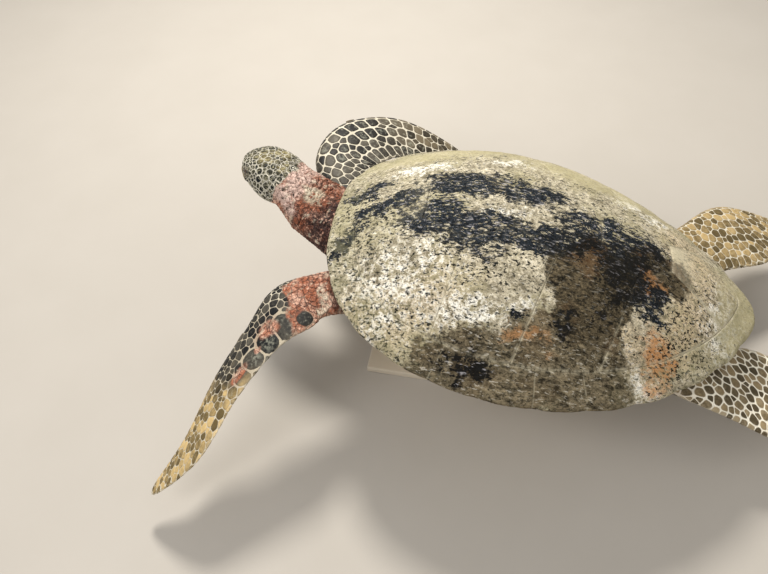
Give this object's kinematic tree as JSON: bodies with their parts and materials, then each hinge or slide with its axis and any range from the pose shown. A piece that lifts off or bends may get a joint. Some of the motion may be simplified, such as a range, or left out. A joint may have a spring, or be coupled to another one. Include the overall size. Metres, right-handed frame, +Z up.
{
  "type": "green sea turtle model on a stand",
  "caption": "Life-size green sea turtle swimming with its head turned to its right, held over a flat board by two short rods.",
  "frame": {"origin": "centre of the underside of the stand's board, on the floor", "axes": "+Z up; -Y towards the turtle's head end, along its body; +X towards the turtle's left side"},
  "size_m": [1.0731, 1.4162, 0.485],
  "materials": {
    "shell": "horny plates with a dull coat of algae",
    "rim": "horny plates with a paler coat of algae",
    "plastron": "smooth pale yellow horn",
    "skin": "scaly skin, slightly damp",
    "beak": "worn horn",
    "claw": "dark horn",
    "eye": "wet dark eye",
    "board": "satin pale buff paint on a steel plate",
    "rod": "brushed steel"
  },
  "bodies": {
    "root": {"nuchal": "rim", "vertebral_1": "shell", "vertebral_2": "shell", "vertebral_3": "shell", "vertebral_4": "shell", "vertebral_5": "shell", "costal_left_1": "shell", "costal_left_2": "shell", "costal_left_3": "shell", "costal_left_4": "shell", "costal_right_1": "shell", "costal_right_2": "shell", "costal_right_3": "shell", "costal_right_4": "shell", "marginal_left_1": "rim", "marginal_left_2": "rim", "marginal_left_3": "rim", "marginal_left_4": "rim", "marginal_left_5": "rim", "marginal_left_6": "rim", "marginal_left_7": "rim", "marginal_left_8": "rim", "marginal_left_9": "rim", "marginal_left_10": "rim", "marginal_left_11": "rim", "marginal_left_12": "rim", "marginal_right_1": "rim", "marginal_right_2": "rim", "marginal_right_3": "rim", "marginal_right_4": "rim", "marginal_right_5": "rim", "marginal_right_6": "rim", "marginal_right_7": "rim", "marginal_right_8": "rim", "marginal_right_9": "rim", "marginal_right_10": "rim", "marginal_right_11": "rim", "marginal_right_12": "rim", "plastron": "plastron", "trunk": "skin", "neck": "skin", "tail": "skin", "upper_arm_left": "skin", "upper_arm_right": "skin", "front_flipper_left": "skin", "front_flipper_right": "skin", "hind_flipper_left": "skin", "hind_flipper_right": "skin", "head": "skin", "jaw": "skin", "beak_upper": "beak", "beak_lower": "beak", "eye_left": "eye", "eye_right": "eye", "claw_left": "claw", "claw_right": "claw", "stand_base": "board", "stand_rod_front": "rod", "stand_rod_rear": "rod"}
  },
  "joints": []
}
